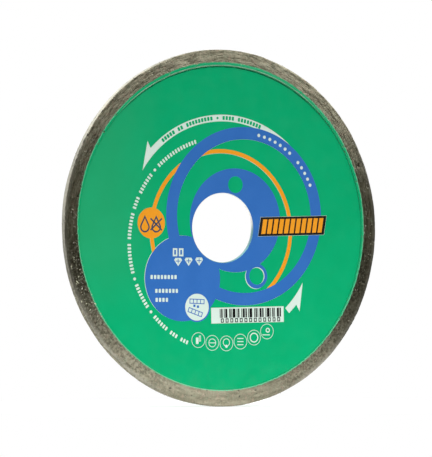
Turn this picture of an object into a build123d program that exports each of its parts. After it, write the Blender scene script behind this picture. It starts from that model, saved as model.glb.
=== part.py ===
from build123d import *
import os
from math import acos, cos, radians, sin

# A 115 mm continuous-rim diamond blade for tile. It stands upright: the spin axis is Y, the
# printed face looks along -Y, and the origin is the centre of the bore, halfway through the
# core. Lengths are in millimetres and angles in degrees. Artwork places are (x, z) as seen
# from the front, and angles run anticlockwise from +X.

# Blade body
blade_radius = 115.0 / 2
bore_radius = 22.23 / 2
core_thickness = 1.3
rim_thickness = 2.0
rim_inner_radius = 52.2
rim_corner = 0.15
bore_chamfer = 0.2

# Teeth on the core's edge, which the rim is pressed around
tooth_count = 36
tooth_root_radius = rim_inner_radius + 0.8
tooth_height = 1.4
tooth_root_width = 4.0
tooth_tip_width = 5.0

# Paint: a base coat, with the inks side by side on top of it
base_coat_thickness = 0.04
ink_thickness = 0.03
paint_edge_gap = 0.05
paint_outer_radius = rim_inner_radius - paint_edge_gap
paint_inner_radius = bore_radius + bore_chamfer
front_face = core_thickness / 2
ink_level = front_face + base_coat_thickness

# Blue shapes: a wide ring, a disc around the bore and a disc at the lower left
wide_ring_centre = (8.04, 3.9)
wide_ring_outer = 28.83
wide_ring_inner = 24.82
hub_disc_centre = (4.6, 2.5)
hub_disc_radius = 16.78
legend_disc_centre = (-14.72, -16.34)
legend_disc_radius = 13.75
small_ring_centre = (12.57, -15.45)
small_ring_outer = 4.03

# Round holes in the blue shapes, green all through in the first and but for a gap in the second
hub_hole_centre = (4.7, 14.0)
hub_hole_radius = 2.68
small_ring_hole_centre = (12.73, -15.4)
small_ring_hole_radius = 2.83
small_ring_spot_centre = (12.48, -15.55)
small_ring_spot_radius = 2.77

# How far the places left for the blue shapes sit off them, which leaves slim white gaps
ring_bed_shift = (0.0, -0.05)
legend_bed_shift = (-0.2, 0.06)
small_ring_bed_shift = (-0.25, -0.16)

# Orange shapes: a thin band that runs under the blue ones, and a disc on it
band_centre = (-0.45, -0.92)
band_radius = 25.67
band_width = 1.3
band_start = -50.0
band_sweep = 246.0
band_bed_shift = (-0.07, -0.11)
drop_disc_centre = (-26.2, 1.3)
drop_disc_radius = 4.95

# Outline drops on the orange disc, the second one crossed out
drop_line = 0.52
drop_radius = 1.75
drop_tip = 3.8
open_drop_centre = (-28.5, 0.0)
crossed_drop_centre = (-24.4, 0.0)
cross_centre = (-24.4, 0.9)
cross_length = 5.6
cross_angle = 42.0

# Slanted black panel with orange stripes
panel_centre = (26.05, 0.9)
panel_width = 24.8
panel_height = 6.1
panel_tilt = 1.8
panel_slant = 0.19
panel_margin = 0.2
stripe_count = 11
stripe_pitch = 2.12
stripe_width = 1.55
stripe_height = 4.7

# White rotation arrows, the direction the blade turns in
arrow_centre = (0.35, -0.85)
arrow_width = 2.2
top_arrow_radius = 35.2
top_arrow_tail = 44.0
top_arrow_tip = 147.7
low_arrow_radius = 33.9
low_arrow_tail = -47.4
low_arrow_tip = -29.3
arrow_head_angle = 12.0
arrow_barb_angle = 1.2
arrow_barb_reach = 2.4

# Plain blocks that stand in for lines of print: the length of each word, in blocks
block_corner = 0.2
arrow_words = (5, 2, 9, 1, 4, 8)
arrow_words_start = 127.8
arrow_words_pitch = 1.8
arrow_block = (0.8, 1.25)
side_words = (15, 1, 7, 4, 8, 9, 1, 8, 1, 6, 3, 3)
side_words_centre = (0.1, -5.2)
side_words_radius = 34.25
side_words_start = 107.4
side_words_pitch = 1.84
side_block = (0.7, 1.3)
side_dot_radius = 0.5
ring_dots = (7, 5)
ring_dots_radius = 26.75
ring_dots_start = 78.4
ring_dots_pitch = 4.63
ring_dot_radius = 0.55
legend_rows = (((-26.02, -15.91), 8), ((-24.32, -20.33), 7), ((-24.22, -23.21), 4))
legend_pitch = 1.24
legend_block = (0.85, 1.3)
heading_blocks = ((-17.5, -7.96), (-15.3, -7.96))
heading_block = (1.7, 2.6)
heading_line = 0.55

# Three gem marks under the heading
gem_centres = ((-16.4, -10.8), (-12.55, -10.7), (-8.7, -10.6))
gem_width = 2.9
gem_top = 1.05
gem_tip = 1.65
gem_line = (1.7, 0.22)
gem_stem = (0.22, 1.5)

# Round white icon with two rows of tiles, the lower one laid at an angle, and tiles between
tile_icon_centre = (-9.48, -25.53)
tile_icon_radius = 4.34
tile_icon_border = 0.45
tile_row_length = 4
tile_rows = (((0.0, 1.85), -2.0), ((-0.65, -1.6), -19.0))
tile_size = (1.55, 1.6)
tile_line = 0.25
loose_tile_centres = ((-0.95, 0.45), (0.35, 0.15))
loose_tile_size = (0.75, 0.8)

# White label with bars over a row of hollow boxes
label_centre = (9.25, -28.0)
label_size = (27.0, 5.1)
label_tilt = 1.15
bars_start = -10.3
bars_end = 12.4
bar_widths = (0.25, 0.5, 0.25, 0.75, 0.5, 0.25, 1.0)
bar_gaps = (0.25, 0.5, 0.25, 0.75, 0.25)
bar_height = 2.9
bar_level = 0.65
box_count = 13
box_pitch = 1.75
box_size = (1.05, 1.35)
box_line = 0.28
box_level = -1.65

# Row of small round pictograms under the label
pictogram_radius = 2.5
pictogram_line = 0.2
glyph_line = 0.25
pictogram_orbit = 37.2
pictogram_start = -104.0
pictogram_step = 8.05


def polar(centre, radius, angle):
    """The point at an angle on a circle."""
    return (centre[0] + radius * cos(radians(angle)), centre[1] + radius * sin(radians(angle)))


def ring(outer, inner):
    """A flat ring about the current location."""
    Circle(outer)
    Circle(inner, mode=Mode.SUBTRACT)


def outline(width, height, line):
    """A rectangle drawn as a line."""
    Rectangle(width, height)
    Rectangle(width - 2 * line, height - 2 * line, mode=Mode.SUBTRACT)


def slanted_bar(width, height):
    """A parallelogram that leans to the right as the panel does."""
    lean = height * panel_slant / 2
    half_width = width / 2
    half_height = height / 2
    Polygon(
        (-half_width - lean, -half_height),
        (half_width - lean, -half_height),
        (half_width + lean, half_height),
        (-half_width + lean, half_height),
        align=None,
        rotation=panel_tilt,
    )


def teardrop(radius, tip, mode=Mode.ADD):
    """A disc with a point above it, both flanks tangent to the disc."""
    flank = acos(radius / tip)
    side = radius * sin(flank)
    shoulder = radius * cos(flank)
    Circle(radius, mode=mode)
    Polygon((0, tip), (-side, shoulder), (side, shoulder), align=None, mode=mode)


def drop_outline():
    """A teardrop drawn as a line."""
    teardrop(drop_radius, drop_tip)
    teardrop(drop_radius - drop_line, drop_tip - 2 * drop_line, mode=Mode.SUBTRACT)


def rotation_arrow(inner, tail, tip):
    """A curved arrow about the arrow centre that points anticlockwise."""
    outer = inner + arrow_width
    notch = tip - arrow_head_angle
    barb = notch - arrow_barb_angle
    with BuildLine() as outline:
        CenterArc(arrow_centre, inner, tail, tip - tail)
        Line(polar(arrow_centre, inner, tip), polar(arrow_centre, outer + arrow_barb_reach, barb))
        Line(polar(arrow_centre, outer + arrow_barb_reach, barb), polar(arrow_centre, outer, notch))
        CenterArc(arrow_centre, outer, notch, tail - notch)
        Line(polar(arrow_centre, outer, tail), polar(arrow_centre, inner, tail))
    make_face(outline.edges())


def word_slots(words):
    """The slot number of each block and its word's length, with one empty slot between words."""
    slot = 0
    for length in words:
        for _ in range(length):
            yield slot, length
            slot += 1
        slot += 1


def block_arc(words, centre, radius, start, pitch, size, dot_radius):
    """Words of plain blocks along an arc. A word of one block is a round dot."""
    for slot, length in word_slots(words):
        angle = start + slot * pitch
        with Locations(Location(polar(centre, radius, angle), angle - 90)):
            if length == 1:
                Circle(dot_radius)
            else:
                RectangleRounded(*size, block_corner)


def gem():
    """A cut stone seen from the side: flat top, shoulders, a point below and crossed facet lines."""
    half = gem_width / 2
    Polygon(
        (-0.7 * half, gem_top),
        (0.7 * half, gem_top),
        (half, 0.3 * gem_top),
        (0, -gem_tip),
        (-half, 0.3 * gem_top),
        align=None,
    )
    Rectangle(*gem_line, mode=Mode.SUBTRACT)
    Rectangle(*gem_stem, mode=Mode.SUBTRACT)


def tile_outlines():
    """The icon's rows of tiles, drawn as lines, and the filled tiles between them."""
    width, height = tile_size
    for centre, tilt in tile_rows:
        with Locations(Location(centre, tilt)):
            with GridLocations(width - tile_line, 0, tile_row_length, 1):
                outline(width, height, tile_line)
    with Locations(*loose_tile_centres):
        Rectangle(*loose_tile_size)


def page_glyph():
    """Two upright blocks of different height."""
    with Locations((-0.4, -0.2)):
        RectangleRounded(1.0, 2.1, block_corner)
    with Locations((0.6, 0.5)):
        outline(0.7, 1.9, glyph_line)


def band_glyph():
    """A ring with a band across it."""
    ring(1.4, 1.4 - glyph_line)
    Rectangle(2.6, glyph_line)


def bead_glyph():
    """A ring with a bead on its lower edge."""
    with Locations((0, 0.3)):
        ring(1.3, 1.3 - glyph_line)
    with Locations((0, -0.95)):
        Circle(0.5)


def stack_glyph():
    """Three level blocks, one above the other."""
    with GridLocations(0, 1.0, 1, 3):
        Rectangle(2.3, 1.2 * glyph_line)


def washer_glyph():
    """A heavy ring."""
    ring(1.6, 1.6 - 1.5 * glyph_line)


def rising_glyph():
    """A disc above a level line."""
    with Locations((0.3, 0.4)):
        ring(0.8, 0.8 - 1.5 * glyph_line)
    with Locations((-0.3, -1.1)):
        Rectangle(2.8, 1.2 * glyph_line)


# Artwork, drawn flat as seen from the front

with BuildSketch() as coated_face:
    ring(paint_outer_radius, paint_inner_radius)

with BuildSketch() as blue_shapes:
    with Locations(wide_ring_centre):
        ring(wide_ring_outer, wide_ring_inner)
    with Locations(hub_disc_centre):
        Circle(hub_disc_radius)
    with Locations(legend_disc_centre):
        Circle(legend_disc_radius)
    with Locations(tile_icon_centre):
        Circle(tile_icon_radius + tile_icon_border)
    with Locations(small_ring_centre):
        Circle(small_ring_outer)

with BuildSketch() as blue_openings:
    with Locations(hub_hole_centre):
        Circle(hub_hole_radius)
    with Locations(small_ring_hole_centre):
        Circle(small_ring_hole_radius)
    with Locations(tile_icon_centre):
        Circle(tile_icon_radius)
    with Locations(*gem_centres):
        gem()
    with Locations(*heading_blocks):
        outline(*heading_block, heading_line)
    for (row_x, row_z), blocks in legend_rows:
        for block in range(blocks):
            with Locations((row_x + block * legend_pitch, row_z)):
                RectangleRounded(*legend_block, block_corner)
    for slot, _ in word_slots(ring_dots):
        angle = ring_dots_start - slot * ring_dots_pitch
        with Locations(polar(wide_ring_centre, ring_dots_radius, angle)):
            Circle(ring_dot_radius)

with BuildSketch() as blue_beds:
    with Locations(ring_bed_shift):
        with Locations(wide_ring_centre):
            ring(wide_ring_outer, wide_ring_inner)
        with Locations(hub_disc_centre):
            Circle(hub_disc_radius)
    with Locations(legend_bed_shift):
        with Locations(legend_disc_centre):
            Circle(legend_disc_radius)
    with Locations(small_ring_bed_shift):
        with Locations(small_ring_centre):
            Circle(small_ring_outer)

with BuildSketch() as orange_shapes:
    SlotArc(CenterArc(band_centre, band_radius, band_start, band_sweep), band_width)
    with Locations(drop_disc_centre):
        Circle(drop_disc_radius)

with BuildSketch() as orange_bed:
    with Locations(band_bed_shift):
        SlotArc(CenterArc(band_centre, band_radius, band_start, band_sweep), band_width)

with BuildSketch() as drop_icons:
    with Locations(open_drop_centre, crossed_drop_centre):
        drop_outline()
    with Locations(cross_centre):
        Rectangle(cross_length, drop_line, rotation=cross_angle)
        Rectangle(cross_length, drop_line, rotation=-cross_angle)

with BuildSketch() as panel:
    with Locations(panel_centre):
        slanted_bar(panel_width, panel_height)

with BuildSketch() as panel_opening:
    with Locations(panel_centre):
        slanted_bar(panel_width + panel_margin, panel_height + panel_margin)

with BuildSketch() as panel_stripes:
    for stripe in range(stripe_count):
        along = (stripe - (stripe_count - 1) / 2) * stripe_pitch
        with Locations(polar(panel_centre, along, panel_tilt)):
            slanted_bar(stripe_width, stripe_height)

with BuildSketch() as white_marks:
    rotation_arrow(top_arrow_radius, top_arrow_tail, top_arrow_tip)
    rotation_arrow(low_arrow_radius, low_arrow_tail, low_arrow_tip)
    with Locations(label_centre):
        Rectangle(*label_size, rotation=label_tilt)
    block_arc(
        side_words,
        side_words_centre,
        side_words_radius,
        side_words_start,
        side_words_pitch,
        side_block,
        side_dot_radius,
    )
    glyphs = (page_glyph, band_glyph, bead_glyph, stack_glyph, washer_glyph, rising_glyph)
    for number, glyph in enumerate(glyphs):
        with Locations(polar((0, 0), pictogram_orbit, pictogram_start + number * pictogram_step)):
            ring(pictogram_radius, pictogram_radius - pictogram_line)
            glyph()

with BuildSketch() as arrow_blocks:
    block_arc(
        arrow_words,
        arrow_centre,
        top_arrow_radius + arrow_width / 2,
        arrow_words_start,
        -arrow_words_pitch,
        arrow_block,
        arrow_block[0] / 2,
    )

with BuildSketch() as label_bars:
    with Locations(Location(label_centre, label_tilt)):
        bar_x = bars_start
        bar = 0
        while bar_x < bars_end:
            width = bar_widths[bar % len(bar_widths)]
            with Locations((bar_x + width / 2, bar_level)):
                Rectangle(width, bar_height)
            bar_x += width + bar_gaps[bar % len(bar_gaps)]
            bar += 1
        for box in range(box_count):
            with Locations((bars_start + box_pitch * (box + 0.5), box_level)):
                outline(*box_size, box_line)

with BuildSketch() as blue_artwork:
    add(blue_shapes.sketch)
    add(blue_openings.sketch, mode=Mode.SUBTRACT)
    with Locations(tile_icon_centre):
        tile_outlines()
    add(panel_opening.sketch, mode=Mode.SUBTRACT)
    Circle(paint_inner_radius, mode=Mode.SUBTRACT)


# Steel core: a disc with a toothed edge that the rim hides

with BuildPart() as steel_core:
    with BuildSketch(Plane.XZ):
        Circle(tooth_root_radius)
        with PolarLocations(tooth_root_radius, tooth_count):
            Polygon(
                (-tooth_height / 2, -tooth_root_width / 2),
                (tooth_height, -tooth_tip_width / 2),
                (tooth_height, tooth_tip_width / 2),
                (-tooth_height / 2, tooth_root_width / 2),
                align=None,
            )
        Circle(bore_radius, mode=Mode.SUBTRACT)
    extrude(amount=core_thickness / 2, both=True)
    bore_edges = steel_core.edges().filter_by(GeomType.CIRCLE).group_by(SortBy.RADIUS)[0]
    chamfer(bore_edges, bore_chamfer)

# Diamond rim: one ring, thicker than the core, with a slot that fits the core's teeth

with BuildPart() as diamond_rim:
    with BuildSketch(Plane.XY) as rim_section:
        with Locations(((rim_inner_radius + blade_radius) / 2, 0)):
            Rectangle(blade_radius - rim_inner_radius, rim_thickness)
        fillet(rim_section.vertices(), rim_corner)
    revolve(axis=Axis.Y)
    add(steel_core.part, mode=Mode.SUBTRACT)

# Paint films

with BuildPart() as front_base_coat:
    with BuildSketch(Plane.XZ.offset(front_face)):
        add(coated_face.sketch)
    extrude(amount=base_coat_thickness)

with BuildPart() as back_coat:
    with BuildSketch(Plane.XZ.offset(-front_face)):
        add(coated_face.sketch)
    extrude(amount=-base_coat_thickness)

with BuildPart() as front_green_ink:
    with BuildSketch(Plane.XZ.offset(ink_level)):
        add(coated_face.sketch)
        add(white_marks.sketch, mode=Mode.SUBTRACT)
        add(arrow_blocks.sketch)
        add(panel_opening.sketch, mode=Mode.SUBTRACT)
        add(orange_shapes.sketch, mode=Mode.SUBTRACT)
        add(orange_bed.sketch, mode=Mode.SUBTRACT)
        add(blue_beds.sketch, mode=Mode.SUBTRACT)
        add(blue_shapes.sketch, mode=Mode.SUBTRACT)
        with Locations(hub_hole_centre):
            Circle(hub_hole_radius)
        with Locations(small_ring_spot_centre):
            Circle(small_ring_spot_radius)
        add(blue_artwork.sketch, mode=Mode.SUBTRACT)
    extrude(amount=ink_thickness)

with BuildPart() as front_blue_ink:
    with BuildSketch(Plane.XZ.offset(ink_level)):
        add(blue_artwork.sketch)
    extrude(amount=ink_thickness)

with BuildPart() as front_orange_ink:
    with BuildSketch(Plane.XZ.offset(ink_level)):
        add(orange_shapes.sketch)
        add(blue_shapes.sketch, mode=Mode.SUBTRACT)
        add(panel_opening.sketch, mode=Mode.SUBTRACT)
        add(drop_icons.sketch, mode=Mode.SUBTRACT)
        add(panel_stripes.sketch)
    extrude(amount=ink_thickness)

with BuildPart() as front_black_ink:
    with BuildSketch(Plane.XZ.offset(ink_level)):
        add(panel.sketch)
        add(panel_stripes.sketch, mode=Mode.SUBTRACT)
        add(label_bars.sketch)
    extrude(amount=ink_thickness)

with BuildPart() as front_drop_icons:
    with BuildSketch(Plane.XZ.offset(ink_level)):
        add(drop_icons.sketch)
    extrude(amount=ink_thickness)

# Labels and files

os.makedirs("parts", exist_ok=True)
steel_core.part.label = "steel_core"
export_step(steel_core.part, "parts/steel_core.step")
diamond_rim.part.label = "diamond_rim"
export_step(diamond_rim.part, "parts/diamond_rim.step")
front_base_coat.part.label = "front_base_coat"
export_step(front_base_coat.part, "parts/front_base_coat.step")
front_green_ink.part.label = "front_green_ink"
export_step(front_green_ink.part, "parts/front_green_ink.step")
front_blue_ink.part.label = "front_blue_ink"
export_step(front_blue_ink.part, "parts/front_blue_ink.step")
front_orange_ink.part.label = "front_orange_ink"
export_step(front_orange_ink.part, "parts/front_orange_ink.step")
front_black_ink.part.label = "front_black_ink"
export_step(front_black_ink.part, "parts/front_black_ink.step")
front_drop_icons.part.label = "front_drop_icons"
export_step(front_drop_icons.part, "parts/front_drop_icons.step")
back_coat.part.label = "back_coat"
export_step(back_coat.part, "parts/back_coat.step")
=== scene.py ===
import bpy
import numpy as np
from collections import namedtuple
from math import cos, pi, radians, sin
from mathutils import Matrix, Vector


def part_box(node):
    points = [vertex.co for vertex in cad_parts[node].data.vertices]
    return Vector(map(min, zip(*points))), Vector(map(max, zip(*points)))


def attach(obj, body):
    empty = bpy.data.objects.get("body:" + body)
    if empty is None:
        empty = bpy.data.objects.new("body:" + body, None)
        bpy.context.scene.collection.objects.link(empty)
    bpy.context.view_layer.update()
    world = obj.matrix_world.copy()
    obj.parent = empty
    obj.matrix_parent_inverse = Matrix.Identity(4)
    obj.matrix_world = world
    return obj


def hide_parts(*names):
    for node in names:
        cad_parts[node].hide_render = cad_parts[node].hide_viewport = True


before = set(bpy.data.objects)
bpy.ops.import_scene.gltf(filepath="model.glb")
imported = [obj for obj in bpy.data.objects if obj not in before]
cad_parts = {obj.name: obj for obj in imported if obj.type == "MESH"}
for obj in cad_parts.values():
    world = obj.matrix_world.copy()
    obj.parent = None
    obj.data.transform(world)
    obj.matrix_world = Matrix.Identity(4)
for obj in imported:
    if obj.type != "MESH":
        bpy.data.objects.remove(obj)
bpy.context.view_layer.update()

# The looks of a painted diamond blade. It stands upright on its rim: the spin axis is Y and the
# printed face looks along -Y. Lengths are in metres and colours are linear.

mm = 0.001

# Sizes taken from the frame
rim_low, rim_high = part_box("diamond_rim")
core_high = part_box("steel_core")[1]
paint_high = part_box("front_green_ink")[1]
blade_radius = rim_high.x
rim_half = rim_high.y
core_half = core_high.y
tooth_radius = core_high.x
paint_radius = paint_high.x

# Rim section
rim_inner = paint_radius + 0.05 * mm
rim_corner = 0.15 * mm
slot_clearance = 0.01 * mm

# Rim mesh: steps around the blade, and steps along each stretch of its section
rim_steps = 1400
wall_steps = 2
corner_steps = 3
face_steps = 19
tread_steps = 8

# Rim relief: how high or deep each kind of mark is, and its size along the rim and across it
streak_height = 0.018 * mm
streak_size = (1.6 * mm, 0.2 * mm)
grain_height = 0.006 * mm
grain_size = (0.16 * mm, 0.16 * mm)
hollow_depth = 0.1 * mm
hollow_size = (0.3 * mm, 0.22 * mm)
sway_height = 0.025 * mm
sway_size = (7 * mm, 3 * mm)
chip_depth = 0.06 * mm
chip_size = (0.7 * mm, 0.3 * mm)
wear_depth = 0.08 * mm
wear_size = (4 * mm, 4 * mm)
worn_width = 0.5 * mm
held_width = 0.5 * mm

# Diamond grit: how many grains, their least and greatest size, where they lie, and the sizes of
# the patches in which their tone and gloss change
grit_count = 2600
grit_size = (0.07 * mm, 0.14 * mm)
grit_inner = rim_inner + 1.0 * mm
grit_on_tread = 0.2
grit_on_back = 0.4
grit_tone_size = 1.1 * mm
grit_gloss_size = 0.1 * mm

# Print that ran over onto the rim's shoulder: its circle sits a little high and is ragged
overrun_centre = (0.05 * mm, 0.0, 0.5 * mm)
overrun_radius = rim_inner + 0.78 * mm
overrun_blur = 0.12 * mm
overrun_swing = 0.3 * mm
overrun_notch = 0.7 * mm
overrun_step = 0.03 * mm
lip_inset = 0.16 * mm
lip_width = 0.2 * mm

# Along the top a worn line runs round the rim's shoulder, and a painted shadow of the rim's step runs
# round the paint's edge
worn_radius = rim_inner + 0.22 * mm
shadow_line_radius = paint_radius - 0.27 * mm
line_width = 0.16 * mm
line_break = 2.5 * mm
top_start = 0.66
top_full = 0.84

# The rim's skin: streaks that wander across it over an arc given in blade radii, and the sizes of
# its patches and grain
comb_length = 2.6 * mm
comb_width = 0.34 * mm
comb_bend = 1.6 * mm
comb_bend_arc = 0.09
patch_size = 1.3 * mm
bond_grain_size = 0.22 * mm
bond_relief = 0.04 * mm

# Pale flecks are thickest on the rim towards here
fleck_side = (cos(radians(201)), 0.0, sin(radians(201)))
fleck_size = 0.6 * mm

# Painted shade darkens the rim's lower flanks and, less so, its top towards here
painted_shade_side = (cos(radians(80)), 0.0, sin(radians(80)))
mottle_size = 0.85 * mm

# A painted highlight brightens a band along the rim's outer edge, and the tread: how far in from the
# outer edge each starts and is full, and how far in from the face's plane one gives way to the other
band_fade = (1.8 * mm, 0.2 * mm)
tread_fade = (0.6 * mm, 0.3 * mm)
corner_fade = (0.06 * mm, 0.16 * mm)

# Paint: sizes of its clouds, grain, specks and gloss patches, and its orange peel and fine skin
cloud_size = 9 * mm
paint_grain_size = 0.35 * mm
speck_size = 0.4 * mm
gloss_patch_size = 4 * mm
peel_size = 0.9 * mm
peel_relief = 0.012 * mm
skin_size = 0.18 * mm
skin_relief = 0.004 * mm

# The green paint's painted sheen, pale towards its upper left: where it starts and is full, across the
# blade and up it
painted_sheen_across = (-18 * mm, -44 * mm)
painted_sheen_up = (-32 * mm, -4 * mm)

# Steel: sizes of its marks, stains and gloss patches, and where the print on the bore's wall
# starts and is full
mark_size = 0.06 * mm
mark_relief = 0.006 * mm
stain_size = 2.5 * mm
steel_patch_size = 0.8 * mm
wall_print_up = (3 * mm, -1.5 * mm)

# Colours of the rim
bond_dark = (0.208, 0.193, 0.133)
bond_light = (0.43, 0.4, 0.295)
streak_shadow = (0.08, 0.075, 0.05)
streak_glint = (0.6, 0.58, 0.43)
warm_patch = (0.46, 0.35, 0.27)
cool_patch = (0.3, 0.35, 0.25)
grain_shadow = (0.12, 0.12, 0.09)
grain_glint = (0.74, 0.73, 0.62)
pit_colour = (0.05, 0.05, 0.04)
# painted shade on the rim's lower flanks and top
painted_shade_colour = (0.05, 0.055, 0.035)
mottle_dark = (0.07, 0.065, 0.045)
mottle_pale = (0.55, 0.53, 0.42)
# painted highlights on the faces' outer edge and on the tread
edge_highlight_colour = (0.6, 0.58, 0.5)
tread_highlight_colour = (0.5, 0.5, 0.46)
overrun_green = (0.002, 0.38, 0.15)
overrun_lip = (0.24, 0.62, 0.4)
worn_metal = (0.4, 0.48, 0.4)
fleck_colour = (0.6, 0.6, 0.42)

# Colours of the core, the grains, and the paint's painted sheen and painted shadow
steel_dark = (0.74, 0.74, 0.72)
steel_light = (0.92, 0.92, 0.9)
steel_stain = (0.5, 0.46, 0.4)
wall_print = (0.09, 0.24, 0.25)
grit_straw = (0.62, 0.58, 0.42)
grit_smoke = (0.3, 0.29, 0.25)
painted_sheen_colour = (0.4, 0.3, 0.25)
shadow_line_colour = (0.003, 0.05, 0.025)

# Floor and softbox
floor_size = 0.2
floor_dark = (0.6, 0.6, 0.6)
floor_light = (0.64, 0.64, 0.64)
floor_glow = 0.25
key_size = (1.0, 0.8)
key_energy = 7.2
key_place = Vector((0.70, -0.42, 0.58))

# Camera: a long lens, to the left of the axis and a touch below it
view_yaw = radians(-29.39)
view_pitch = radians(-1.24)
view_distance = 1.3225
view_lens = 323.3
view_offset = (-1.823 * mm, -0.175 * mm)

rng = np.random.default_rng(20)


# Node helpers

Spot = namedtuple("Spot", "place flat radius outward depth")


def put(socket, value):
    """Links an output to a socket, or sets the socket's own value."""
    if isinstance(value, bpy.types.NodeSocket):
        socket.id_data.links.new(value, socket)
    else:
        socket.default_value = value


def add_node(tree, kind, inputs=None, **settings):
    """A node with its settings, and its inputs by name or number."""
    made = tree.nodes.new(kind)
    for name, value in settings.items():
        setattr(made, name, value)
    for key, value in (inputs or {}).items():
        put(made.inputs[key], value)
    return made


def calc(tree, operation, *values):
    """A Math node on values or outputs."""
    return add_node(tree, "ShaderNodeMath", dict(enumerate(values)), operation=operation).outputs[0]


def fold(tree, operation, first, *others):
    """A Math operation over any number of values or outputs, such as their product."""
    for other in others:
        first = calc(tree, operation, first, other)
    return first


def ramp(tree, value, low, high, start=0.0, end=1.0):
    """Maps low..high to start..end with soft ends."""
    inputs = {"Value": value, "From Min": low, "From Max": high, "To Min": start, "To Max": end}
    made = add_node(tree, "ShaderNodeMapRange", inputs, interpolation_type="SMOOTHSTEP")
    return made.outputs["Result"]


def noise(tree, at, size, detail=2.0, roughness=0.5):
    """Noise with features about the given size in metres. Runs from about 0.25 to 0.75."""
    inputs = {"Vector": at, "Scale": 1 / size, "Detail": detail, "Roughness": roughness}
    return add_node(tree, "ShaderNodeTexNoise", inputs).outputs[0]


def vector_math(tree, operation, inputs):
    """The outputs of a Vector Math node."""
    return add_node(tree, "ShaderNodeVectorMath", inputs, operation=operation).outputs


def parts(tree, vector):
    """The X, Y and Z outputs of a vector."""
    return add_node(tree, "ShaderNodeSeparateXYZ", {0: vector}).outputs


def rgba(colour):
    """A colour as a socket takes it: an output as it is, and three numbers with an alpha of 1."""
    return colour if isinstance(colour, bpy.types.NodeSocket) else (*colour, 1)


def blend(tree, factor, first, second):
    """The first colour where the factor is 0 and the second where it is 1."""
    inputs = {0: factor, 6: rgba(first), 7: rgba(second)}
    return add_node(tree, "ShaderNodeMix", inputs, data_type="RGBA").outputs[2]


def overlay(tree, tone, *layers):
    """Lays colours over a tone in turn, each given as its strength and itself."""
    for strength, colour in layers:
        tone = blend(tree, strength, tone, colour)
    return tone


def bump(tree, height, distance, normal=None):
    """Bump whose height of 1 stands for a distance in metres."""
    inputs = {"Height": height, "Distance": distance, "Strength": 1.0}
    if normal is not None:
        inputs["Normal"] = normal
    return add_node(tree, "ShaderNodeBump", inputs).outputs[0]


def new_material(name):
    """A material with an empty tree, and the spot on the blade that it shades.

    The spot is the place in object coordinates, the same place without its depth, its radius from
    the spin axis, the direction outward, and its depth along the axis.
    """
    material = bpy.data.materials.new(name)
    material.use_nodes = True
    tree = material.node_tree
    tree.nodes.clear()
    place = add_node(tree, "ShaderNodeTexCoord").outputs["Object"]
    split = parts(tree, place)
    flat = add_node(tree, "ShaderNodeCombineXYZ", {0: split[0], 2: split[2]}).outputs[0]
    radius = vector_math(tree, "LENGTH", {0: flat})["Value"]
    outward = vector_math(tree, "NORMALIZE", {0: flat})[0]
    return material, tree, Spot(place, flat, radius, outward, split[1])


def finish_material(tree, inputs):
    """Ends a tree in a Principled shader with the given inputs."""
    shader = add_node(tree, "ShaderNodeBsdfPrincipled", inputs)
    add_node(tree, "ShaderNodeOutputMaterial", {"Surface": shader.outputs[0]})


# Materials


def top_line(tree, spot, line_radius):
    """A broken line at a radius, along the top of the blade only."""
    off = calc(tree, "ABSOLUTE", calc(tree, "SUBTRACT", spot.radius, line_radius))
    line = ramp(tree, off, line_width, 0.4 * line_width)
    broken = ramp(tree, noise(tree, spot.place, line_break, 3.0), 0.35, 0.55, 0.5, 1.0)
    top_arc = ramp(tree, parts(tree, spot.outward)[2], top_start, top_full)
    return fold(tree, "MULTIPLY", line, broken, top_arc)


def toward(tree, spot, side):
    """1 where the blade's edge faces a side, and less away from it."""
    return vector_math(tree, "DOT_PRODUCT", {0: spot.outward, 1: side})["Value"]


def sheen_and_shadow_tone(tree, tone, spot):
    """Enamel with a painted sheen towards its upper left and a painted shadow along its top edge."""
    x, _, z = parts(tree, spot.flat)
    left = ramp(tree, x, *painted_sheen_across, 0.0, 0.035)
    painted_sheen = calc(tree, "MULTIPLY", left, ramp(tree, z, *painted_sheen_up))
    # painted shadow: a dark line where the rim's step shades the paint along the top
    shadow_line = top_line(tree, spot, shadow_line_radius)
    return overlay(tree, tone, (painted_sheen, painted_sheen_colour), (shadow_line, shadow_line_colour))


def paint_material(name, colour, light, dark, gloss, sheen_and_shadow):
    """Screen-printed enamel: clouded colour, fine grain, orange peel and rare specks."""
    material, tree, spot = new_material(name)
    clouds = ramp(tree, noise(tree, spot.place, cloud_size, 3.0), 0.35, 0.65)
    grain = ramp(tree, noise(tree, spot.place, paint_grain_size, 3.0, 0.7), 0.3, 0.7)
    speck = ramp(tree, noise(tree, spot.place, speck_size, 1.0), 0.76, 0.82)
    tone = overlay(
        tree,
        colour,
        (calc(tree, "MULTIPLY", clouds, 0.5), light),
        (calc(tree, "MULTIPLY", grain, 0.3), dark),
        (calc(tree, "MULTIPLY", speck, 0.35), dark),
    )
    if sheen_and_shadow:
        tone = sheen_and_shadow_tone(tree, tone, spot)
    sheen = noise(tree, spot.place, gloss_patch_size, 4.0)
    roughness = ramp(tree, sheen, 0.3, 0.7, gloss - 0.05, gloss + 0.09)
    peel = bump(tree, noise(tree, spot.place, peel_size), peel_relief)
    surface = bump(tree, noise(tree, spot.place, skin_size), skin_relief, peel)
    finish_material(tree, {"Base Color": tone, "Roughness": roughness, "Normal": surface, "IOR": 1.42})
    return material


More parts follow.
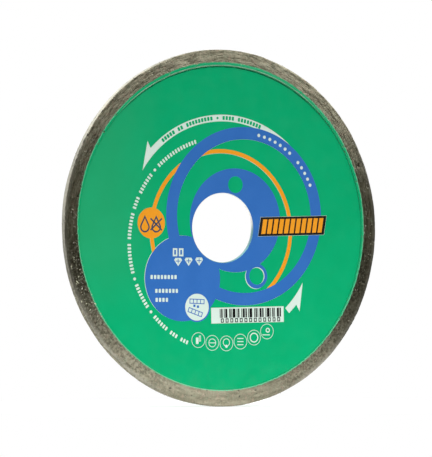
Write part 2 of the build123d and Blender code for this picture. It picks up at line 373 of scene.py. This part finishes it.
def steel_material():
    """Ground steel with marks that run round the bore, and print that ran down its lower wall."""
    material, tree, spot = new_material("ground_steel")
    rings = add_node(tree, "ShaderNodeCombineXYZ", {0: spot.radius, 1: spot.depth}).outputs[0]
    marks = noise(tree, rings, mark_size, 3.0, 0.7)
    stain = ramp(tree, noise(tree, spot.place, stain_size, 4.0, 0.6), 0.4, 0.65)
    low = ramp(tree, parts(tree, spot.flat)[2], *wall_print_up)
    near = ramp(tree, spot.depth, core_half, -core_half, 0.6, 1.0)
    tone = overlay(
        tree,
        blend(tree, ramp(tree, marks, 0.3, 0.7), steel_dark, steel_light),
        (calc(tree, "MULTIPLY", stain, 0.25), steel_stain),
        (calc(tree, "MULTIPLY", low, near), wall_print),
    )
    roughness = ramp(tree, noise(tree, spot.place, steel_patch_size, 3.0), 0.3, 0.7, 0.28, 0.46)
    lines = bump(tree, marks, mark_relief)
    finish_material(
        tree,
        {"Base Color": tone, "Metallic": 1.0, "Roughness": roughness, "Normal": lines},
    )
    return material


def combing(tree, spot):
    """Noise drawn out along the rim into streaks that wander across it."""
    turns = {0: spot.outward, "Scale": blade_radius / comb_length}
    x, _, z = parts(tree, vector_math(tree, "SCALE", turns)[0])
    bend = calc(tree, "MULTIPLY", noise(tree, spot.outward, comb_bend_arc), comb_bend)
    level = calc(tree, "DIVIDE", fold(tree, "ADD", spot.radius, spot.depth, bend), comb_width)
    drawn_out = add_node(tree, "ShaderNodeCombineXYZ", {0: x, 1: level, 2: z}).outputs[0]
    return noise(tree, drawn_out, 1.0, 3.0, 0.65)


def damp(tree, value, share):
    """Draws a value that runs about 0.5 in towards 0.5, to a share of its swing."""
    return calc(tree, "MULTIPLY_ADD", calc(tree, "SUBTRACT", value, 0.5), share, 0.5)


def bond_tone(tree, spot, streak, combed, grain, pit):
    """Bare sintered bond: streaks, warm and cool patches, grain and dark pits."""
    patch = noise(tree, spot.place, patch_size, 3.0, 0.6)
    return overlay(
        tree,
        blend(tree, ramp(tree, streak, 0.1, 0.9), bond_dark, bond_light),
        (ramp(tree, combed, 0.53, 0.63, 0.0, 0.8), streak_shadow),
        (ramp(tree, combed, 0.47, 0.37, 0.0, 0.6), streak_glint),
        (ramp(tree, patch, 0.54, 0.68, 0.0, 0.5), warm_patch),
        (ramp(tree, patch, 0.44, 0.3, 0.0, 0.4), cool_patch),
        (ramp(tree, grain, 0.56, 0.7, 0.0, 0.6), grain_shadow),
        (ramp(tree, grain, 0.42, 0.3, 0.0, 0.5), grain_glint),
        (ramp(tree, pit, 0.0, 1.0, 0.0, 0.85), pit_colour),
    )


def shaded_and_mottled(tree, tone, spot):
    """Painted shade and mottling on the rim's lower flanks, and a little painted shade along its top."""
    x, _, height = parts(tree, spot.outward)
    beside = calc(tree, "ABSOLUTE", x)
    low = calc(tree, "MULTIPLY", ramp(tree, beside, 0.6, 0.92), ramp(tree, height, 0.03, -0.2))
    top = ramp(tree, toward(tree, spot, painted_shade_side), 0.9, 0.985, 0.0, 0.48)
    painted_shade = calc(tree, "MULTIPLY", calc(tree, "MAXIMUM", low, top), 0.43)
    flank = calc(tree, "MULTIPLY", ramp(tree, beside, 0.2, 0.6), ramp(tree, height, 0.05, -0.2))
    mottle = noise(tree, spot.place, mottle_size, 2.0, 0.6)
    dark_spots = calc(tree, "MULTIPLY", ramp(tree, mottle, 0.51, 0.6, 0.0, 0.5), flank)
    pale_spots = calc(tree, "MULTIPLY", ramp(tree, mottle, 0.47, 0.38, 0.0, 0.3), flank)
    layers = ((painted_shade, painted_shade_colour), (dark_spots, mottle_dark), (pale_spots, mottle_pale))
    return overlay(tree, tone, *layers)


def painted_edge_highlight(tree, tone, spot):
    """Painted highlight: a band along the faces' outer edge on the flanks, and the tread but for the
    bottom.
    """
    x, _, height = parts(tree, spot.outward)
    from_edge = calc(tree, "SUBTRACT", blade_radius, spot.radius)
    from_face = calc(tree, "SUBTRACT", rim_half, calc(tree, "ABSOLUTE", spot.depth))
    on_tread = ramp(tree, from_face, *corner_fade)
    on_face = calc(tree, "SUBTRACT", 1.0, on_tread)
    beside = calc(tree, "ABSOLUTE", x)
    flank = calc(tree, "MULTIPLY", ramp(tree, height, 0.6, 0.3), ramp(tree, beside, 0.3, 0.6))
    above = ramp(tree, height, -0.55, 0.1, 0.0, 0.5)
    band = fold(tree, "MULTIPLY", ramp(tree, from_edge, *band_fade, 0.0, 0.5), on_face, flank)
    tread = fold(tree, "MULTIPLY", ramp(tree, from_edge, *tread_fade), on_tread, above)
    return overlay(tree, tone, (band, edge_highlight_colour), (tread, tread_highlight_colour))


def overrun_print(tree, spot, pit, front):
    """How thickly print covers the rim's shoulder, and its pale lip, which is faint along the top."""
    off = vector_math(tree, "DISTANCE", {0: spot.flat, 1: overrun_centre})["Value"]
    notches = noise(tree, spot.place, overrun_notch, 3.0)
    ragged = calc(tree, "MULTIPLY_ADD", notches, 2 * overrun_swing, -overrun_swing)
    edge = calc(tree, "ADD", off, ragged)
    inside = ramp(tree, edge, overrun_radius + overrun_blur, overrun_radius - overrun_blur)
    cover = fold(tree, "MULTIPLY", inside, front, ramp(tree, pit, 0.0, 0.8, 1.0, 0.4))
    from_lip = calc(tree, "ABSOLUTE", calc(tree, "SUBTRACT", edge, overrun_radius - lip_inset))
    below_top = ramp(tree, parts(tree, spot.outward)[2], top_full, top_start, 0.1, 0.55)
    lip = fold(tree, "MULTIPLY", ramp(tree, from_lip, lip_width, 0.4 * lip_width), cover, below_top)
    return cover, lip


def rim_material():
    """Sintered bond: streaked metal, calmer towards the bottom, with print along its inner edge."""
    material, tree, spot = new_material("sintered_bond_skin")
    streak = add_node(tree, "ShaderNodeAttribute", attribute_name="streak").outputs["Fac"]
    pit = add_node(tree, "ShaderNodeAttribute", attribute_name="pit").outputs["Fac"]
    swing = ramp(tree, parts(tree, spot.outward)[2], -0.6, 0.4, 0.42, 0.95)
    combed = damp(tree, combing(tree, spot), swing)
    grain = damp(tree, noise(tree, spot.place, bond_grain_size, 4.0, 0.75), swing)
    bare = bond_tone(tree, spot, damp(tree, streak, swing), combed, grain, pit)

    front = ramp(tree, spot.depth, -core_half, -core_half - overrun_step)
    cover, lip = overrun_print(tree, spot, pit, front)
    worn = fold(tree, "MULTIPLY", top_line(tree, spot, worn_radius), front, 0.8)
    flecked = ramp(tree, toward(tree, spot, fleck_side), 0.965, 0.995)
    flecks = ramp(tree, noise(tree, spot.place, fleck_size), 0.64, 0.69)
    flecks = calc(tree, "MULTIPLY", flecks, flecked)
    # the bare bond takes painted shade on its lower flanks and top, and painted highlights on its outer
    # edge and tread
    tone = overlay(
        tree,
        painted_edge_highlight(tree, shaded_and_mottled(tree, bare, spot), spot),
        (cover, overrun_green),
        (lip, overrun_lip),
        (worn, worn_metal),
        (flecks, fleck_colour),
    )
    bare_metal = fold(tree, "SUBTRACT", 1.0, cover, flecks)
    polish = calc(tree, "MULTIPLY", cover, 0.22)
    roughness = calc(tree, "SUBTRACT", ramp(tree, grain, 0.3, 0.7, 0.34, 0.5), polish)
    relief = calc(tree, "ADD", calc(tree, "MULTIPLY", combed, -1.0), calc(tree, "MULTIPLY", grain, -0.7))
    tangent = add_node(tree, "ShaderNodeTangent", direction_type="RADIAL", axis="Y").outputs[0]
    finish_material(
        tree,
        {
            "Base Color": tone,
            "Metallic": bare_metal,
            "Roughness": roughness,
            "Normal": bump(tree, relief, bond_relief),
            "Anisotropic": 0.95,
            "Anisotropic Rotation": 0.25,
            "Tangent": tangent,
        },
    )
    return material


def grit_material():
    """Diamond grit: small glassy grains, straw to smoke in colour."""
    material, tree, spot = new_material("diamond_grains")
    pick = noise(tree, spot.place, grit_tone_size, 1.0)
    tone = blend(tree, ramp(tree, pick, 0.35, 0.65), grit_straw, grit_smoke)
    roughness = ramp(tree, noise(tree, spot.place, grit_gloss_size), 0.3, 0.7, 0.12, 0.35)
    finish_material(tree, {"Base Color": tone, "Roughness": roughness, "IOR": 2.2})
    return material


def floor_material():
    """Plain pale floor that glows faintly, so that the blade's shadow on it stays light."""
    material, tree, spot = new_material("pale_floor")
    tone = blend(tree, noise(tree, spot.place, floor_size), floor_dark, floor_light)
    glow = {"Emission Color": tone, "Emission Strength": floor_glow}
    finish_material(tree, {"Base Color": tone, "Roughness": 0.9, **glow})
    return material


# Rim


def stretch(start, end, steps):
    """Points of a straight run, without its end, each with the direction that faces out."""
    run = np.array(end) - np.array(start)
    out = np.array((-run[1], run[0])) / np.hypot(*run)
    return [(*(np.array(start) + run * step / steps), *out) for step in range(steps)]


def turn(centre, start, steps):
    """Points of a quarter corner, without its end, turning clockwise from an angle."""
    points = []
    for step in range(steps):
        angle = start - pi / 2 * step / steps
        out = (cos(angle), sin(angle))
        points.append((centre[0] + rim_corner * out[0], centre[1] + rim_corner * out[1], *out))
    return points


def rim_skin():
    """The rim's section as (radius, depth, outward), from the slot's mouth at the back to the front."""
    inner, outer, half = rim_inner, blade_radius, rim_half
    near, far = inner + rim_corner, outer - rim_corner
    mouth = core_half + slot_clearance
    bend = half - rim_corner
    skin = stretch((inner, mouth), (inner, bend), wall_steps)
    skin += turn((near, bend), pi, corner_steps)
    skin += stretch((near, half), (far, half), face_steps)
    skin += turn((far, bend), pi / 2, corner_steps)
    skin += stretch((outer, bend), (outer, -bend), tread_steps)
    skin += turn((far, -bend), 0.0, corner_steps)
    skin += stretch((far, -half), (near, -half), face_steps)
    skin += turn((near, -bend), -pi / 2, corner_steps)
    skin += stretch((inner, -bend), (inner, -mouth), wall_steps)
    skin.append((inner, -mouth, -1.0, 0.0))
    return np.array(skin)


skin = rim_skin()
skin_steps = len(skin)
arc_step = 2 * pi * blade_radius / rim_steps
skin_step = np.hypot(*np.diff(skin[:, :2], axis=0).T).mean()


def field(along, across):
    """Seeded noise over the rim's skin, smoothed to a length along the rim and one across it."""
    waves_along = np.fft.fftfreq(rim_steps, arc_step)[:, None]
    waves_across = np.fft.fftfreq(skin_steps, skin_step)[None, :]
    keep = np.exp(-2 * pi**2 * ((waves_along * along) ** 2 + (waves_across * across) ** 2))
    raw = rng.standard_normal((rim_steps, skin_steps))
    smooth = np.fft.ifft2(np.fft.fft2(raw) * keep).real
    return smooth / smooth.std()


def rim_relief():
    """Height of the rim's surface over its section, and the streak and pit strength there."""
    streaks = field(*streak_size)
    grains = field(*grain_size)
    hollows = np.clip(field(*hollow_size) - 1.5, 0, 1.5) / 1.5
    sway = field(*sway_size)
    height = streak_height * streaks + grain_height * grains - hollow_depth * hollows + sway_height * sway
    edge = np.clip(1 - (blade_radius - skin[:, 0]) / worn_width, 0, 1)
    chips = np.clip(field(*chip_size) - 0.9, 0, 2)
    wear = np.clip(field(*wear_size) + 0.8, 0, 2)
    height -= edge * (chip_depth * chips + wear_depth * wear)
    held = np.clip((skin[:, 0] - rim_inner) / held_width, 0, 1)
    streak = np.clip(0.5 + 0.22 * streaks + 0.1 * grains, 0, 1)
    return height * held, streak, np.clip(hollows + edge * 0.3 * chips, 0, 1)


def around(radius, depth, angle):
    """Points at a radius, depth and angle about the spin axis."""
    return np.stack((radius * np.cos(angle), depth + 0 * angle, radius * np.sin(angle)), axis=-1)


def make_mesh(name, points, faces, material):
    """A smooth-shaded mesh object."""
    mesh = bpy.data.meshes.new(name)
    mesh.from_pydata(points.reshape(-1, 3).tolist(), [], faces)
    mesh.materials.append(material)
    mesh.polygons.foreach_set("use_smooth", [True] * len(mesh.polygons))
    made = bpy.data.objects.new(name, mesh)
    bpy.context.scene.collection.objects.link(made)
    return made


def ring_faces(count):
    """Faces between the rim's sections, which have this many points each and close on themselves."""
    faces = []
    for step in range(rim_steps):
        here = step * count
        there = (step + 1) % rim_steps * count
        for row in range(count):
            after = (row + 1) % count
            faces.append((here + row, here + after, there + after, there + row))
    return faces


def make_rim():
    """The rim as a closed ring: its rough skin, and the slot that takes the core's teeth."""
    height, streak, pit = rim_relief()
    floor_radius = tooth_radius + 2 * slot_clearance
    mouth = core_half + slot_clearance
    slot = np.array([(floor_radius, -mouth), (floor_radius, mouth)])
    angle = np.linspace(0, 2 * pi, rim_steps, endpoint=False)[:, None]
    outer = around(skin[:, 0] + height * skin[:, 2], skin[:, 1] + height * skin[:, 3], angle)
    inner = around(slot[:, 0], slot[:, 1], angle)
    points = np.concatenate((outer, inner), axis=1)
    rim = make_mesh("rim_skin", points, ring_faces(points.shape[1]), rim_material())
    for name, values in (("streak", streak), ("pit", pit)):
        whole = np.concatenate((values, np.zeros((rim_steps, len(slot)))), axis=1)
        attribute = rim.data.attributes.new(name, "FLOAT", "POINT")
        attribute.data.foreach_set("value", whole.ravel())
    return rim


rim = make_rim()
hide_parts("diamond_rim")
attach(rim, "root")


# Diamond grit


def make_grit():
    """Eight-sided grains, half sunk in the rim's faces and tread."""
    corners = np.array([(1, 0, 0), (-1, 0, 0), (0, 1, 0), (0, -1, 0), (0, 0, 1), (0, 0, -1)])
    sides = [(0, 2, 4), (2, 1, 4), (1, 3, 4), (3, 0, 4), (2, 0, 5), (1, 2, 5), (3, 1, 5), (0, 3, 5)]
    points = []
    faces = []
    for grain in range(grit_count):
        angle = rng.uniform(0, 2 * pi)
        where = rng.uniform()
        if where < grit_on_tread:
            radius, depth = blade_radius, rng.uniform(-0.8, 0.8) * rim_half
        else:
            radius = rng.uniform(grit_inner, blade_radius - rim_corner)
            depth = rim_half if where < grit_on_tread + grit_on_back else -rim_half
        spin = Matrix.Rotation(rng.uniform(0, 2 * pi), 3, Vector(rng.standard_normal(3)))
        size = rng.uniform(*grit_size)
        shape = corners @ np.array(spin) * size * rng.uniform(0.8, 1.2, 3)
        centre = np.array((radius * cos(angle), depth, radius * sin(angle)))
        points.append(shape + centre)
        faces += [tuple(6 * grain + corner for corner in side) for side in sides]
    grit = make_mesh("diamond_grit", np.array(points), faces, grit_material())
    grit.data.polygons.foreach_set("use_smooth", [False] * len(faces))
    return grit


grit = make_grit()
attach(grit, "root")


# CAD nodes keep their shapes and take these materials: a name, then the colour, its light and its dark

paints = {
    "front_base_coat": ("white_base_coat", (0.69, 0.82, 0.74), (0.73, 0.84, 0.77), (0.56, 0.71, 0.63)),
    "front_green_ink": ("green_enamel", (0.002, 0.4, 0.16), (0.004, 0.43, 0.18), (0.002, 0.34, 0.13)),
    "front_blue_ink": ("blue_enamel", (0.036, 0.158, 0.5), (0.044, 0.178, 0.54), (0.028, 0.125, 0.42)),
    "front_orange_ink": ("orange_enamel", (0.88, 0.34, 0.02), (0.92, 0.37, 0.03), (0.77, 0.28, 0.012)),
    "front_black_ink": ("black_enamel", (0.012, 0.012, 0.012), (0.02, 0.02, 0.02), (0.008, 0.008, 0.008)),
    "front_drop_icons": ("slate_enamel", (0.05, 0.07, 0.11), (0.07, 0.09, 0.13), (0.04, 0.05, 0.09)),
    "back_coat": ("back_enamel", (0.01, 0.36, 0.14), (0.014, 0.4, 0.17), (0.006, 0.3, 0.11)),
}
ink_roughness = 0.15
back_roughness = 0.36

finishes = {"steel_core": steel_material()}
for node, recipe in paints.items():
    roughness = back_roughness if node == "back_coat" else ink_roughness
    # the green ink alone takes the painted sheen and the painted shadow line
    finishes[node] = paint_material(*recipe, roughness, sheen_and_shadow=node == "front_green_ink")
for node, material in finishes.items():
    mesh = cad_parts[node].data
    mesh.materials.clear()
    mesh.materials.append(material)


# Floor, light and camera

corner = floor_size / 2
floor_mesh = bpy.data.meshes.new("floor")
floor_mesh.from_pydata(
    [(x * corner, y * corner, rim_low.z) for x, y in ((-1, -1), (1, -1), (1, 1), (-1, 1))],
    [],
    [(0, 1, 2, 3)],
)
floor_mesh.materials.append(floor_material())
floor = bpy.data.objects.new("floor", floor_mesh)
bpy.context.scene.collection.objects.link(floor)


def make_world():
    """A ceiling brighter to the left, a back wall and a left side, and a dim room in front.

    The camera itself sees white paper instead.
    """
    world = bpy.data.worlds.new("studio")
    bpy.context.scene.world = world
    world.use_nodes = True
    tree = world.node_tree
    tree.nodes.clear()
    x, y, z = parts(tree, add_node(tree, "ShaderNodeTexCoord").outputs["Generated"])
    ceiling = calc(tree, "MULTIPLY", ramp(tree, z, 0.35, 0.8), ramp(tree, x, 0.5, -0.4, 1.5, 3.0))
    wall = ramp(tree, y, 0.05, 0.6, 0.0, 1.25)
    side = calc(tree, "MULTIPLY", ramp(tree, x, -0.35, -0.8), ramp(tree, z, -0.1, 0.3, 0.6, 1.4))
    level = fold(tree, "MAXIMUM", ceiling, wall, side, 0.06)
    tint = blend(tree, ramp(tree, level, 0.06, 0.3), (1.0, 1.0, 0.66), (1.0, 1.0, 1.0))
    room = add_node(tree, "ShaderNodeBackground", {"Color": tint, "Strength": level})
    paper = add_node(tree, "ShaderNodeBackground", {"Color": (1, 1, 1, 1), "Strength": 1.0})
    seen = add_node(tree, "ShaderNodeLightPath").outputs["Is Camera Ray"]
    mixed = add_node(tree, "ShaderNodeMixShader", {0: seen, 1: room.outputs[0], 2: paper.outputs[0]})
    add_node(tree, "ShaderNodeOutputWorld", {"Surface": mixed.outputs[0]})


def make_key():
    """A softbox high on the right and in front, aimed at the blade's centre."""
    key = bpy.data.lights.new("softbox", "AREA")
    key.shape = "RECTANGLE"
    key.size, key.size_y = key_size
    key.energy = key_energy
    softbox = bpy.data.objects.new("softbox", key)
    aim = key_place.to_track_quat("Z", "Y").to_matrix().to_4x4()
    softbox.matrix_world = Matrix.Translation(key_place) @ aim
    softbox.visible_camera = False
    bpy.context.scene.collection.objects.link(softbox)


def make_camera():
    """The scene's camera, out along the line of view and shifted a little across it."""
    back = Vector((sin(view_yaw) * cos(view_pitch), -cos(view_yaw) * cos(view_pitch), sin(view_pitch)))
    right = Vector((cos(view_yaw), sin(view_yaw), 0.0))
    up = back.cross(right)
    place = back * view_distance + right * view_offset[0] + up * view_offset[1]
    turned = Matrix((right, up, back)).transposed().to_4x4()
    data = bpy.data.cameras.new("camera")
    data.lens = view_lens
    camera = bpy.data.objects.new("camera", data)
    camera.matrix_world = Matrix.Translation(place) @ turned
    bpy.context.scene.collection.objects.link(camera)
    bpy.context.scene.camera = camera


make_world()
make_key()
make_camera()
bpy.context.scene.view_settings.view_transform = "Standard"
